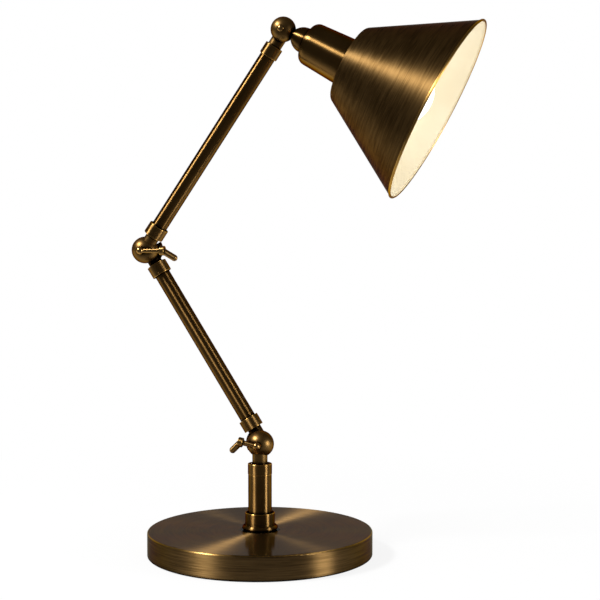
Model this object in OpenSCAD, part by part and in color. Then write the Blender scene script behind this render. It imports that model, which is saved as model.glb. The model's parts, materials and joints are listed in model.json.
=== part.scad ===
// Swing arm table lamp in antique brass: weighted base, swivelling stem, two arms with
// clamped ball knuckles, and a tilting head with a conical shade.
// Every ball is split in two halves: the half on the lever side (-Y) and the far half (+Y)
// are on neighbouring arms, so each knuckle steps the arms sideways.
// Millimetres, +Z up, origin under the middle of the base. The arms lie parallel to the
// XZ plane and the head points to +X.

/* [Base] */
// Diameter of the round base
base_d = 200; // [160:1:260]
// Height of the base, from the table to its top face
base_h = 22.5; // [20:0.5:32]
// Wall of the spun base cover
base_wall = 1.2; // [0.8:0.1:1.6]
// Radius of the cover's rounded top edge
base_edge_r = 1.6; // [1:0.1:2.4]
// Radius of the roll along the cover's lower rim
rim_roll_r = 1; // [0.7:0.1:1.4]
// Height of the cover's rim above the table
rim_lift = 0.8; // [0.4:0.1:1.5]
// Thickness of the felt pad
pad_t = 2; // [1.5:0.5:4]
// Gap between the weight and the roll of the rim
weight_gap = 0.5; // [0.2:0.1:1]

/* [Base fastening] */
// Outer diameter of the hollow threaded pipe
pipe_d = 10; // [8:0.5:12]
// Wall of the pipe
pipe_wall = 1.5; // [1:0.1:2]
// Distance across the flats of the pipe nut
pipe_nut_af = 17; // [15:0.5:20]
// Thickness of the pipe nut
pipe_nut_h = 5; // [3:0.5:6]
// Diameter of the washer on the pipe
pipe_washer_d = 24; // [21:0.5:30]
// Thickness of the washer on the pipe
pipe_washer_t = 1.5; // [1:0.1:2.5]
// Length of pipe that stands out of its nut
pipe_tail = 1.5; // [0.5:0.1:2.5]
// Room between the end of the pipe and the pad
recess_room = 1; // [0.5:0.1:2]
// Gap between the washer and the side of its recess
recess_gap = 3; // [1:0.5:5]

/* [Cord inlet] */
// Bore of the inlet bush at the back of the base
inlet_bore_d = 6; // [5:0.1:7]
// Wall of the inlet bush
inlet_wall = 1.2; // [0.8:0.1:1.6]
// How far the bush's flange stands out past its body
inlet_flange_w = 1.2; // [0.8:0.1:1.6]
// Thickness of the bush's flange
inlet_flange_t = 1.2; // [0.8:0.1:2]
// Length of the bush behind its flange
inlet_l = 6; // [4:0.5:10]
// Gap between the bush and the channel in the weight
channel_gap = 0.6; // [0.3:0.1:1]

/* [Stem] */
// Diameter of the stem tube
stem_d = 21; // [18:0.5:26]
// Wall of the stem tube
stem_wall = 1.2; // [1:0.1:1.6]
// Height of the stem tube above the base
stem_h = 50; // [44:1:90]
// Diameter of the bead ring at the foot of the stem
bead_d = 31.6; // [28:0.2:40]
// Height of the bead ring
bead_h = 5; // [4:0.2:7]
// Diameter of the collar above the bead
collar_d = 26.4; // [24:0.2:30]
// Height of the collar
collar_h = 10.7; // [6:0.1:16]
// Chamfer on the edges of the collar, ferrules and knobs
edge = 0.5; // [0.2:0.1:0.8]
// Height of the anchor plug that the pipe screws into
anchor_h = 8; // [6:0.5:10]
// Room between the anchor plug and the spindle above it
anchor_room = 3; // [2:0.5:5]

/* [Swivel] */
// Length of the swivel bush in the top of the stem
swivel_bush_h = 12; // [10:0.5:14]
// How far the bush lies below the end of the tube
swivel_bush_sink = 0.2; // [0.1:0.1:0.5]
// Diameter of the hollow spindle
spindle_d = 8; // [7:0.1:9]
// Length of spindle that stands out of its nut
spindle_tail = 1.5; // [1:0.1:2.5]
// Distance across the flats of the spindle nut
swivel_nut_af = 13; // [12:0.5:15]
// Thickness of the spindle nut
swivel_nut_h = 5; // [4:0.5:6]
// Diameter of the stop pin
stop_pin_d = 2.4; // [2:0.1:2.8]
// How far the stop pin stands into the cap
stop_depth = 2; // [1.5:0.1:2.5]
// How far the stop pin is let into the bush
stop_seat = 5; // [4:0.5:7]
// Turn of the swivel to each side, in degrees
swing_limit = 160; // [90:5:160]
// Diameter of the stem cap
cap_d = 21.5; // [19:0.1:27]
// Height of the stem cap
cap_h = 9.4; // [8:0.1:14]
// Chamfer on the stem cap's top edge
cap_chamfer = 0.7; // [0.3:0.1:1.2]
// Depth that the stem's ball stud is let into the cap
stud_depth = 3.4; // [2.5:0.1:4]
// Web left in the cap between the spindle and the ball stud
cap_web = 1; // [0.6:0.1:1.5]
// Diameter of the ball stud in the cap
ball_stud_d = 9; // [8:0.1:10]
// Diameter of the neck below the lower ball
stem_neck_d = 13.5; // [12:0.1:15]
// From the top of the cap up to the lower pivot
stem_neck_l = 17; // [16:0.1:26]

/* [Knuckles] */
// Diameter of the lower and elbow balls
ball_d = 24; // [23:0.1:26]
// From the middle of those balls sideways to the neck on the lever side
near_step = 2.2; // [2:0.1:3]
// From the middle of those balls sideways to the axis of the lower arm
far_step = 8; // [6.8:0.1:8.2]
// Diameter of the arm necks at the balls
neck_d = 12.4; // [12:0.1:13]
// Diameter of the clamp and pivot screws
screw_d = 5; // [4:0.1:5.5]
// Thickness of the friction washers between the halves
friction_t = 0.5; // [0.3:0.1:0.8]
// Diameter of the top ball
top_ball_d = 22; // [21:0.1:23]
// From the middle of the top ball sideways to the axis of the upper arm
top_step = 5.5; // [5:0.1:6]
// Diameter of the domed head of the top pivot screw
top_head_d = 5.6; // [5.2:0.1:7]
// Rise of that head above its seat
top_head_h = 1.9; // [1.2:0.1:2.5]
// Bore for the wires in the necks
wire_d = 3; // [2.5:0.1:3.2]
// How far the ear on the far half stands out past the ball
ear_rise = 2.5; // [1.5:0.1:2.6]
// Thickness of the ear
ear_t = 3; // [2:0.1:3.5]
// From the middle of the ball to the ear
ear_s = 4.7; // [4.5:0.1:5]
// Turn of the ear round the ball from the neck, in degrees
ear_turn = 88; // [60:1:95]

/* [Arms] */
// Length of the lower arm, pivot to pivot
lower_arm_l = 201.5; // [150:0.1:260]
// Lean of the lower arm to -X at rest, in degrees
lower_arm_lean = 31.8; // [0:0.1:60]
// Length of the upper arm, pivot to pivot
upper_arm_l = 231; // [170:0.1:300]
// Lean of the upper arm to +X at rest, in degrees
upper_arm_lean = 33.95; // [0:0.05:50]
// Diameter of the arm tubes
tube_d = 14; // [13.2:0.1:15]
// Wall of the arm tubes
tube_wall = 1; // [0.8:0.1:1.4]
// Diameter of the three wide ferrules
ferrule_d = 18.2; // [17:0.1:19]
// Length of every ferrule
ferrule_l = 10.5; // [8:0.1:14]
// From the ball to the wide ferrules
ferrule_stand = 3; // [2.5:0.1:5]
// Diameter of the ferrule below the top ball
top_ferrule_d = 16.4; // [16:0.1:18]
// From the top ball to its ferrule
top_ferrule_stand = 5.4; // [4:0.1:8]
// Depth that a neck is let into its ferrule
neck_seat = 3.5; // [2:0.1:5]
// Length of a neck's plug inside the tube
plug_l = 8; // [5:0.5:14]

/* [Clamp levers] */
// Diameter of a lever's hub
hub_d = 7; // [6.6:0.1:8]
// Height of the hub's straight side
hub_h = 4.6; // [4:0.1:6]
// Rise of the hub's domed end
hub_crown = 1.3; // [0.6:0.1:2]
// Depth of the clamp screw in the hub
hub_bore = 2.6; // [1.5:0.1:3]
// Diameter of the lever rod at the hub
rod_d = 4.2; // [3.6:0.1:4.4]
// Diameter of the lever rod at the knob
rod_tip_d = 4.8; // [4.4:0.1:5.4]
// From the pivot to the knob of the lower lever
lower_lever_l = 12.7; // [12:0.1:18]
// From the pivot to the knob of the elbow lever
elbow_lever_l = 18.5; // [14:0.1:20]
// Diameter of the knob
knob_d = 8.6; // [8:0.1:9.4]
// Length of the knob
knob_l = 4.4; // [4:0.1:6]
// Diameter of the bent grip
grip_d = 5.8; // [5:0.1:6.4]
// From the middle of the knob to the end of the grip let into it
grip_seat = 1.2; // [1:0.1:1.8]
// Length of the lower lever's grip, from the middle of the knob
lower_grip_l = 13; // [10:0.5:16]
// Length of the elbow lever's grip, from the middle of the knob
elbow_grip_l = 15.5; // [10:0.5:18]
// Direction of the lower lever at rest, in degrees from +X towards +Z
lower_lever_angle = 168; // [120:1:190]
// Bend of the lower lever's grip, in degrees
lower_grip_bend = 57; // [20:1:60]
// Direction of the elbow lever at rest, in degrees from +X towards +Z
elbow_lever_angle = 0; // [-30:1:5]
// Bend of the elbow lever's grip, in degrees
elbow_grip_bend = 30; // [20:1:60]

/* [Head] */
// Tilt of the head below the horizontal at rest, in degrees
head_tilt = 27.8; // [0:0.1:45]
// Diameter of the hollow stud through the dome and the cup
head_stud_d = 9.2; // [8.4:0.1:10]
// Largest diameter of the dome
dome_d = 22.4; // [21:0.1:26]
// Radius of the dome's bulging side
dome_arc_r = 14.1; // [13:0.1:18]
// Length of the dome past its widest place
dome_land = 1; // [0.2:0.1:2]
// From the top pivot to the back of the cup
cup_start = 22.7; // [22:0.1:28]
// Diameter of the cup at its back, before the shoulder is rounded
cup_back_d = 37; // [36.6:0.1:42]
// Diameter of the cup at its mouth
cup_mouth_d = 42.3; // [41.8:0.1:48]
// Length of the cup
cup_l = 42.3; // [40:0.1:50]
// Radius of the cup's rounded shoulder
cup_shoulder_r = 7.5; // [3:0.1:8]
// Wall of the spun cup
cup_wall = 0.8; // [0.6:0.1:1.2]
// Distance across the flats of the cup nut
cup_nut_af = 15; // [13.5:0.5:17]
// Thickness of the cup nut
cup_nut_h = 4; // [3:0.5:5]

/* [Lampholder] */
// Diameter of the lampholder
holder_d = 33; // [31:0.1:34]
// Floor of the lampholder's body
holder_floor = 3; // [2:0.1:4]
// Thickness of the shoulder that backs the shade
holder_flange_t = 4; // [2:0.1:6]
// Gap between that shoulder and the cup
holder_flange_gap = 0.8; // [0.4:0.1:1.2]
// Length of the body in front of the shade ring
holder_lip = 2; // [1:0.5:4]
// Wall of the screw shell
shell_t = 0.5; // [0.3:0.1:0.8]
// Gap between the end of the lampholder and the glass
holder_end_gap = 0.3; // [0.2:0.1:1]
// Gap between the screw shell and the bulb
shell_gap = 0.3; // [0.2:0.05:0.5]
// Diameter of the centre contact
contact_d = 8; // [6:0.5:9]
// Height of the centre contact
contact_h = 4; // [3:0.1:5]
// Diameter of the shade ring
ring_d = 44; // [40:0.1:48]
// Thickness of the shade ring
ring_h = 4; // [3:0.1:6]

/* [Shade] */
// Diameter of the shade's back, before its shoulder is rounded
shade_back_d = 67; // [60:0.1:80]
// Diameter of the shade's mouth over the rolled rim
shade_mouth_d = 169; // [150:1:200]
// Length of the shade along its axis
shade_l = 88; // [82:0.5:110]
// Radius of the rounded shoulder at the shade's back
shade_shoulder_r = 6; // [2:0.1:7]
// Wall of the spun shade
shade_wall = 0.8; // [0.6:0.1:1.2]
// Radius of the roll round the mouth
shade_roll_r = 1.1; // [0.9:0.1:1.6]

/* [Bulb] */
// Diameter of the bulb
bulb_d = 60; // [45:1:64]
// Length of the bulb from its contact to its tip
bulb_l = 98.5; // [92:0.5:106]
// Diameter of the bulb's screw cap
bulb_cap_d = 26.4; // [26:0.1:26.8]
// Length of the bulb's cap with its contact
bulb_cap_l = 26; // [24:0.5:28]
// Height of the tapered foot of the cap
bulb_foot_h = 4; // [3:0.1:5]
// Diameter of the bulb's contact
bulb_contact_d = 9; // [8:0.5:11]
// Step between the bore of the glass neck and the bore of the cap
bulb_cap_t = 0.4; // [0.2:0.1:0.8]
// Depth of the thread on the bulb's cap
bulb_thread_r = 0.9; // [0.5:0.1:1.1]
// Number of thread turns on the bulb's cap
bulb_turns = 5; // [3:1:6]
// Diameter of the glass neck
bulb_neck_d = 25.6; // [24:0.1:26]
// Wall of the glass
glass_t = 1; // [0.6:0.1:1.5]

/* [Clearances] */
// Radial gap of pieces that are fixed in each other
fit_gap = 0.02; // [0:0.01:0.04]
// Radial gap of pieces that turn in each other
run_gap = 0.05; // [0.02:0.01:0.1]
// Gap between flat faces that slide past each other
face_gap = 0.1; // [0.05:0.05:0.2]
// Gap between round faces that pass each other
seat_gap = 0.3; // [0.2:0.05:0.4]

/* [Hidden] */
$fn = 96;
// Overshoot of a cut past the face that it opens
cut = 1;
hex_sides = 6;

antique = [0.40, 0.29, 0.16];
bright_brass = [0.72, 0.55, 0.30];
iron = [0.30, 0.30, 0.31];
felt = [0.10, 0.10, 0.10];
rubber = [0.08, 0.08, 0.08];
steel = [0.62, 0.62, 0.64];
fibre = [0.25, 0.18, 0.12];
porcelain = [0.92, 0.91, 0.88];
milk_glass = [0.98, 0.97, 0.92];
shade_brown = [0.36, 0.26, 0.14];

base_r = base_d / 2;
rim_depth = max(base_wall, 2 * rim_roll_r);
weight_r = base_r - rim_depth - weight_gap;
weight_top = base_h - base_wall;
pipe_r = pipe_d / 2;
recess_top = pad_t + recess_room + pipe_tail + pipe_nut_h + pipe_washer_t;
recess_r = pipe_washer_d / 2 + recess_gap;
inlet_r = inlet_bore_d / 2 + inlet_wall;
channel_w = 2 * (inlet_r + channel_gap);
inlet_z = pad_t + channel_w / 2;

stem_r = stem_d / 2;
stem_in_r = stem_r - stem_wall;
stem_top = base_h + stem_h;
bush_top = stem_top - swivel_bush_sink;
bush_bottom = bush_top - swivel_bush_h;
swivel_nut_top = bush_bottom - face_gap;
swivel_nut_bottom = swivel_nut_top - swivel_nut_h;
spindle_bottom = swivel_nut_bottom - spindle_tail;
spindle_r = spindle_d / 2;
anchor_top = spindle_bottom - anchor_room;
cap_bottom = stem_top + face_gap;
cap_top = cap_bottom + cap_h;
spindle_top = cap_top - stud_depth - cap_web;
stop_r = (spindle_r + stem_in_r) / 2;
stop_pin_r = stop_pin_d / 2;
stop_groove_r = stop_pin_r + seat_gap;
stop_groove_turn = 2 * (swing_limit + asin(stop_groove_r / stop_r));

ball_r = ball_d / 2;
top_ball_r = top_ball_d / 2;
screw_r = screw_d / 2;
wire_r = wire_d / 2;
neck_r = neck_d / 2;
tube_r = tube_d / 2;
plug_r = tube_r - tube_wall - fit_gap;
ferrule_s = ball_r + ferrule_stand;
top_ferrule_s = top_ball_r + top_ferrule_stand;

lower_pivot = [0, near_step, cap_top + stem_neck_l];
elbow_pivot = lower_pivot + lower_arm_l * [-sin(lower_arm_lean), 0, cos(lower_arm_lean)];
top_back = near_step + top_step;
top_pivot = elbow_pivot + upper_arm_l * [sin(upper_arm_lean), 0, cos(upper_arm_lean)] - [0, top_back, 0];

hub_r = hub_d / 2;
hub_seat = flat_seat(ball_r, hub_r);
hub_base = hub_seat + face_gap;
lever_rise = hub_base + rod_tip_d / 2 + face_gap;
top_head_seat = flat_seat(top_ball_r, top_head_d / 2);

head_stud_r = head_stud_d / 2;
cup_end = cup_start + cup_l;
cup_angle = atan((cup_mouth_d - cup_back_d) / (2 * cup_l));
cup_nut_start = cup_start + cup_wall;
holder_start = cup_nut_start + cup_nut_h;
holder_r = holder_d / 2;
holder_flange_s = cup_end - holder_flange_t;
holder_flange_r = bell_r(cup_back_d / 2, holder_flange_s - cup_start, cup_angle)
    - cup_wall / cos(cup_angle) - holder_flange_gap;
ring_s = cup_end + shade_wall;
holder_end = ring_s + ring_h + holder_lip;
glass_s = holder_end + holder_end_gap;
contact_s = glass_s - bulb_cap_l;
holder_floor_s = contact_s - contact_h;
holder_body_start = holder_floor_s - holder_floor;
head_stud_end = (holder_start + holder_body_start) / 2;
shade_end = cup_end + shade_l;
shade_angle = atan((shade_mouth_d - shade_back_d) / (2 * shade_l));
bulb_cap_r = bulb_cap_d / 2;
shell_in_r = bulb_cap_r + shell_gap;
shell_out_r = shell_in_r + shell_t;
bulb_cap_s = contact_s + bulb_foot_h;
bulb_r = bulb_d / 2;
bulb_mid = contact_s + bulb_l - bulb_r;

// Height of the flat that seats a round head of radius r on a ball
function flat_seat(ball, r) = sqrt(pow(ball, 2) - pow(r + seat_gap, 2));

// Radius of a bell's side at a distance s from its back
function bell_r(back_r, s, angle) = back_r + s * tan(angle);

// Radius of the sphere whose cap has radius r and height h
function crown_r(r, h) = (pow(r, 2) + pow(h, 2)) / (2 * h);

// Straight round bar along Z from z0 to z1
module rod(r, z0, z1) {
    translate([0, 0, z0])
        cylinder(r = r, h = z1 - z0);
}

// Straight round ring along Z from z0 to z1
module ring(r_out, r_in, z0, z1) {
    difference() {
        rod(r_out, z0, z1);
        rod(r_in, z0 - cut, z1 + cut);
    }
}

// Hexagon nut along Z from z0 to z1
module hex_nut(across_flats, r_in, z0, z1) {
    difference() {
        translate([0, 0, z0])
            cylinder(d = across_flats / cos(180 / hex_sides), h = z1 - z0, $fn = hex_sides);
        rod(r_in, z0 - cut, z1 + cut);
    }
}

// Turns +Z to -Y, the side of the levers
module to_lever_side() {
    rotate([90, 0, 0])
        children();
}

// Turned ring with chamfered outer edges, from z0 to z1
module chamfered_ring(r_out, r_in, z0, z1, low, high) {
    rotate_extrude()
        polygon([
            [r_in, z0], [r_out - low, z0], [r_out, z0 + low],
            [r_out, z1 - high], [r_out - high, z1], [r_in, z1]
        ]);
}

// Round bar along Z from z0 to z1, with a domed end that rises further
module domed_rod(r, z0, z1, rise) {
    rotate_extrude()
        intersection() {
            union() {
                translate([0, z0])
                    square([r, z1 - z0]);
                translate([0, z1 + rise - crown_r(r, rise)])
                    circle(r = crown_r(r, rise));
            }
            translate([0, z0])
                square([r, z1 - z0 + rise]);
        }
}

// Half section of a bell: flat back at s0, rounded shoulder, straight side out to s1
module bell_section(back_r, s0, s1, angle, shoulder) {
    mid_r = back_r + shoulder * (tan(angle) - 1 / cos(angle));
    mid_s = s0 + shoulder;
    union() {
        polygon([
            [0, s0], [mid_r, s0],
            [mid_r + shoulder * cos(angle), mid_s - shoulder * sin(angle)],
            [bell_r(back_r, s1 - s0, angle), s1], [0, s1]
        ]);
        translate([mid_r, mid_s])
            circle(r = shoulder);
    }
}

// Half section of a bell's wall, with a hole in its back
module bell_wall_section(back_r, s0, s1, angle, shoulder, wall, hole_r) {
    inner_r = bell_r(back_r, wall, angle) - wall / cos(angle);
    difference() {
        bell_section(back_r, s0, s1, angle, shoulder);
        bell_section(inner_r, s0 + wall, s1 + cut, angle, shoulder - wall);
        translate([0, s0 - cut])
            square([hole_r, s1 - s0 + 2 * cut]);
    }
}

// Radius of the ring-shaped way for the wires round a knuckle's screw
function wire_ring(ball) = (screw_r + ball) / 2;

// Room of the other half of a split ball, seen from the half on side -1 or +1
module other_half(ball, side) {
    face = side < 0 ? -friction_t / 2 : friction_t / 2 + face_gap - 4 * ball;
    intersection() {
        sphere(r = ball + seat_gap);
        translate([-2 * ball, face, -2 * ball])
            cube(4 * ball);
    }
}

// Half of a split ball with its pivot at the origin along Y. Its round-ended neck stands a
// step to the side and runs along +Z to neck_end, then as a thinner stud to stud_end; the
// wires come in through the stud.
module half_ball(ball, step, side, neck, neck_end, stud, stud_end) {
    groove = wire_ring(ball);
    groove_depth = max(step - wire_r / 2, wire_r);
    difference() {
        union() {
            sphere(r = ball);
            translate([0, side * step, 0]) {
                sphere(r = neck);
                rod(neck, 0, neck_end);
                rod(stud, 0, stud_end);
            }
        }
        other_half(ball, side);
        to_lever_side() {
            rod(screw_r + run_gap, -flat_seat(ball, screw_r), ball + cut);
            mirror([0, 0, side < 0 ? 0 : 1])
                ring(groove + wire_r, groove - wire_r, -cut, groove_depth);
        }
        translate([0, side * step, 0])
            rod(wire_r, groove, stud_end + cut);
    }
}

// Half ball on the lever side, with a flat that seats a round head
module near_half_ball(ball, step, head_r, neck, neck_end, stud, stud_end) {
    difference() {
        half_ball(ball, step, -1, neck, neck_end, stud, stud_end);
        to_lever_side()
            rod(ball, flat_seat(ball, head_r), ball + cut);
    }
}

// Half ball at the end of an arm, with the plug that fills the end of the tube
module far_half_ball(ball, step, ferrule_start) {
    neck_end = ferrule_start + neck_seat;
    half_ball(ball, step, 1, neck_r, neck_end, plug_r, neck_end + plug_l);
}

// Curved ear of the lower arm's half balls, from the neck round to the lever
module knuckle_ear() {
    to_lever_side()
        rotate([0, 0, 90])
            rotate_extrude(angle = ear_turn)
                translate([ball_r - ear_rise, -ear_s - ear_t])
                    square([2 * ear_rise, ear_t]);
}

// Friction washer between the halves of a ball
module friction_washer(ball) {
    to_lever_side()
        ring(
            wire_ring(ball) - wire_r - seat_gap, screw_r + run_gap,
            -friction_t / 2, friction_t / 2
        );
}

// Ferrule along +Z from s: the neck comes in at the start, the tube at the end
module ferrule(diameter, s) {
    difference() {
        chamfered_ring(diameter / 2, neck_r + fit_gap, s, s + ferrule_l, edge, edge);
        rod(tube_r + fit_gap, s + neck_seat, s + ferrule_l + cut);
    }
}

// Arm tube between the ferrules that start s0 and s1 from the ends of the arm
module arm_tube(arm_l, s0, s1) {
    ring(tube_r, tube_r - tube_wall, s0 + neck_seat, arm_l - s1 - neck_seat);
}

// Clamp screw of a lever, from the far side of the ball into the hub
module clamp_screw() {
    to_lever_side()
        rod(screw_r, seat_gap - flat_seat(ball_r, screw_r), hub_base + hub_bore);
}

// Frame of the bent grip: +Z leaves the middle of the knob
module at_grip(lever_l, bend) {
    translate([lever_l + knob_l / 2, -lever_rise, 0])
        rotate([0, 90 + bend, 0])
            children();
}

// Clamp lever along +X: domed hub on the pivot, tapered rod, knob
module clamp_lever(lever_l, bend, grip_l) {
    hub_top = max(hub_base + hub_h, lever_rise + rod_tip_d / 2 + seat_gap);
    difference() {
        union() {
            to_lever_side()
                domed_rod(hub_r, hub_base, hub_top, hub_crown);
            translate([0, -lever_rise, 0])
                rotate([0, 90, 0]) {
                    cylinder(d1 = rod_d, d2 = rod_tip_d, h = lever_l + edge);
                    chamfered_ring(knob_d / 2, 0, lever_l, lever_l + knob_l, edge, edge);
                }
        }
        to_lever_side()
            rod(screw_r + fit_gap, hub_base - cut, hub_base + hub_bore);
        at_grip(lever_l, bend)
            rod(grip_d / 2 + fit_gap, grip_seat, grip_l);
    }
}

// Round-ended grip let into the knob of a clamp lever
module lever_grip(lever_l, bend, grip_l) {
    straight = grip_l - grip_d / 2;
    at_grip(lever_l, bend) {
        rod(grip_d / 2, grip_seat, straight);
        translate([0, 0, straight])
            sphere(d = grip_d);
    }
}

// Places of the moving pieces at rest
module at_lower_pivot() {
    translate(lower_pivot)
        children();
}

module on_lower_arm() {
    at_lower_pivot()
        rotate([0, -lower_arm_lean, 0])
            children();
}

// Axis of the lower arm, on the far side of its balls
module on_lower_axis() {
    on_lower_arm()
        translate([0, far_step, 0])
            children();
}

module at_elbow() {
    translate(elbow_pivot)
        children();
}

module on_upper_arm() {
    at_elbow()
        rotate([0, upper_arm_lean, 0])
            children();
}

// Axis of the upper arm, on the lever side of the elbow
module on_upper_axis() {
    on_upper_arm()
        translate([0, -near_step, 0])
            children();
}

// Frames at the far ends of the arms, looking back along them
module at_lower_arm_end() {
    on_lower_arm()
        translate([0, 0, lower_arm_l])
            rotate([0, 180, 0])
                children();
}

module at_upper_arm_end() {
    on_upper_arm()
        translate([0, -top_back, upper_arm_l])
            rotate([0, 180, 0])
                children();
}

// Head frame: pivot at the origin, +Z along the head
module on_head() {
    translate(top_pivot)
        rotate([0, 90 + head_tilt, 0])
            children();
}

// Half section of the space under the base cover's outside
module base_section() {
    difference() {
        translate([0, rim_lift])
            square([base_r, base_h - rim_lift]);
        translate([base_r - base_edge_r, base_h - base_edge_r])
            difference() {
                square(base_edge_r + cut);
                circle(r = base_edge_r);
            }
    }
}

// Spun cover: flat top, rounded edge, straight side, rolled rim
module base_cover() {
    color(antique)
        difference() {
            rotate_extrude() {
                difference() {
                    base_section();
                    translate([0, rim_lift - cut])
                        square([base_r - base_wall, weight_top - rim_lift + cut]);
                    translate([0, rim_lift - cut])
                        square([base_r + cut, rim_roll_r + cut]);
                }
                translate([base_r - rim_roll_r, rim_lift + rim_roll_r])
                    circle(r = rim_roll_r);
            }
            rod(pipe_r + fit_gap, weight_top - cut, base_h + cut);
            translate([0, base_r, inlet_z])
                to_lever_side()
                    rod(inlet_r + fit_gap, -cut, rim_depth + cut);
        }
}

// Iron weight with the recess for the nut and the channel to the inlet
module base_weight() {
    color(iron)
        difference() {
            rod(weight_r, pad_t, weight_top);
            rod(pipe_r + seat_gap, pad_t, weight_top + cut);
            rod(recess_r, pad_t - cut, recess_top);
            translate([-channel_w / 2, 0, pad_t - cut])
                cube([channel_w, base_r, channel_w + cut]);
        }
}

module base_pad() {
    color(felt)
        rod(weight_r, 0, pad_t);
}

// Flanged bush in the back of the cover
module cord_inlet_bush() {
    color(rubber)
        translate([0, base_r, inlet_z])
            to_lever_side() {
                ring(inlet_r + inlet_flange_w, inlet_bore_d / 2, -inlet_flange_t, 0);
                ring(inlet_r, inlet_bore_d / 2, -inlet_flange_t, inlet_l);
            }
}

module base_pipe() {
    color(steel)
        ring(pipe_r, pipe_r - pipe_wall, pad_t + recess_room, anchor_top);
}

module base_washer() {
    color(steel)
        ring(pipe_washer_d / 2, pipe_r + fit_gap, recess_top - pipe_washer_t, recess_top);
}

module base_nut() {
    nut_top = recess_top - pipe_washer_t;
    color(steel)
        hex_nut(pipe_nut_af, pipe_r + fit_gap, nut_top - pipe_nut_h, nut_top);
}

// Half-round bead at the foot of the stem
module stem_bead() {
    bead_r = bead_h / 2;
    color(antique)
        rotate_extrude() {
            translate([stem_r + fit_gap, base_h])
                square([bead_d / 2 - bead_r - stem_r - fit_gap, bead_h]);
            translate([bead_d / 2 - bead_r, base_h + bead_r])
                circle(r = bead_r);
        }
}

module stem_collar() {
    z0 = base_h + bead_h;
    color(antique)
        chamfered_ring(collar_d / 2, stem_r + fit_gap, z0, z0 + collar_h, edge / 2, edge);
}

module stem_tube() {
    color(antique)
        ring(stem_r, stem_in_r, base_h, stem_top);
}

// Plug in the stem that the pipe screws into
module stem_anchor() {
    color(bright_brass)
        ring(stem_in_r - fit_gap, pipe_r + fit_gap, anchor_top - anchor_h, anchor_top);
}

// Bearing of the swivel, with the hole of the stop pin
module swivel_bush() {
    color(bright_brass)
        difference() {
            ring(stem_in_r - fit_gap, spindle_r + run_gap, bush_bottom, bush_top);
            translate([-stop_r, 0, 0])
                rod(stop_pin_r + fit_gap, bush_top - stop_seat, bush_top + cut);
        }
}

module swivel_stop() {
    color(steel)
        translate([-stop_r, 0, 0])
            rod(stop_pin_r, bush_top - stop_seat, cap_bottom + stop_depth);
}

// Cap of the stem: spindle hole and stop groove below, stud hole above
module stem_cap() {
    color(antique)
        difference() {
            chamfered_ring(cap_d / 2, wire_r, cap_bottom, cap_top, edge / 2, cap_chamfer);
            rod(spindle_r + fit_gap, cap_bottom - cut, spindle_top);
            rod(ball_stud_d / 2 + fit_gap, cap_top - stud_depth, cap_top + cut);
            rotate([0, 0, 180 - stop_groove_turn / 2])
                rotate_extrude(angle = stop_groove_turn)
                    translate([stop_r - stop_groove_r, cap_bottom - cut])
                        square([2 * stop_groove_r, stop_depth + seat_gap + cut]);
        }
}

module swivel_spindle() {
    color(bright_brass)
        ring(spindle_r, wire_r, spindle_bottom, spindle_top);
}

module swivel_nut() {
    color(steel)
        hex_nut(swivel_nut_af, spindle_r + fit_gap, swivel_nut_bottom, swivel_nut_top);
}

// Half ball on the stem's neck, with the stud in the stem cap
module stem_half_ball() {
    color(antique)
        at_lower_pivot()
            rotate([0, 180, 0])
                near_half_ball(
                    ball_r, near_step, hub_r,
                    stem_neck_d / 2, stem_neck_l, ball_stud_d / 2, stem_neck_l + stud_depth
                );
}

module lower_friction_washer() {
    color(fibre)
        at_lower_pivot()
            friction_washer(ball_r);
}

module lower_clamp_screw() {
    color(bright_brass)
        at_lower_pivot()
            clamp_screw();
}

module lower_lever() {
    color(antique)
        at_lower_pivot()
            rotate([0, -lower_lever_angle, 0])
                clamp_lever(lower_lever_l, -lower_grip_bend, lower_grip_l);
}

module lower_grip() {
    color(antique)
        at_lower_pivot()
            rotate([0, -lower_lever_angle, 0])
                lever_grip(lower_lever_l, -lower_grip_bend, lower_grip_l);
}

module lower_arm_half_ball() {
    color(antique)
        on_lower_arm() {
            far_half_ball(ball_r, far_step, ferrule_s);
            knuckle_ear();
        }
}

module lower_arm_bottom_ferrule() {
    color(antique)
        on_lower_axis()
            ferrule(ferrule_d, ferrule_s);
}

module lower_arm_tube() {
    color(antique)
        on_lower_axis()
            arm_tube(lower_arm_l, ferrule_s, ferrule_s);
}

module lower_arm_top_ferrule() {
    color(antique)
        at_lower_arm_end()
            translate([0, far_step, 0])
                ferrule(ferrule_d, ferrule_s);
}

module elbow_far_half_ball() {
    color(antique)
        at_lower_arm_end() {
            far_half_ball(ball_r, far_step, ferrule_s);
            knuckle_ear();
        }
}

module elbow_near_half_ball() {
    neck_end = ferrule_s + neck_seat;
    color(antique)
        on_upper_arm()
            near_half_ball(ball_r, near_step, hub_r, neck_r, neck_end, plug_r, neck_end + plug_l);
}

module elbow_friction_washer() {
    color(fibre)
        at_elbow()
            friction_washer(ball_r);
}

module elbow_clamp_screw() {
    color(bright_brass)
        at_elbow()
            clamp_screw();
}

module elbow_lever() {
    color(antique)
        at_elbow()
            rotate([0, -elbow_lever_angle, 0])
                clamp_lever(elbow_lever_l, elbow_grip_bend, elbow_grip_l);
}

module elbow_grip() {
    color(antique)
        at_elbow()
            rotate([0, -elbow_lever_angle, 0])
                lever_grip(elbow_lever_l, elbow_grip_bend, elbow_grip_l);
}

module upper_arm_bottom_ferrule() {
    color(antique)
        on_upper_axis()
            ferrule(ferrule_d, ferrule_s);
}

module upper_arm_tube() {
    color(antique)
        on_upper_axis()
            arm_tube(upper_arm_l, ferrule_s, top_ferrule_s);
}

module upper_arm_top_ferrule() {
    color(antique)
        at_upper_arm_end()
            translate([0, top_step, 0])
                ferrule(top_ferrule_d, top_ferrule_s);
}

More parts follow.
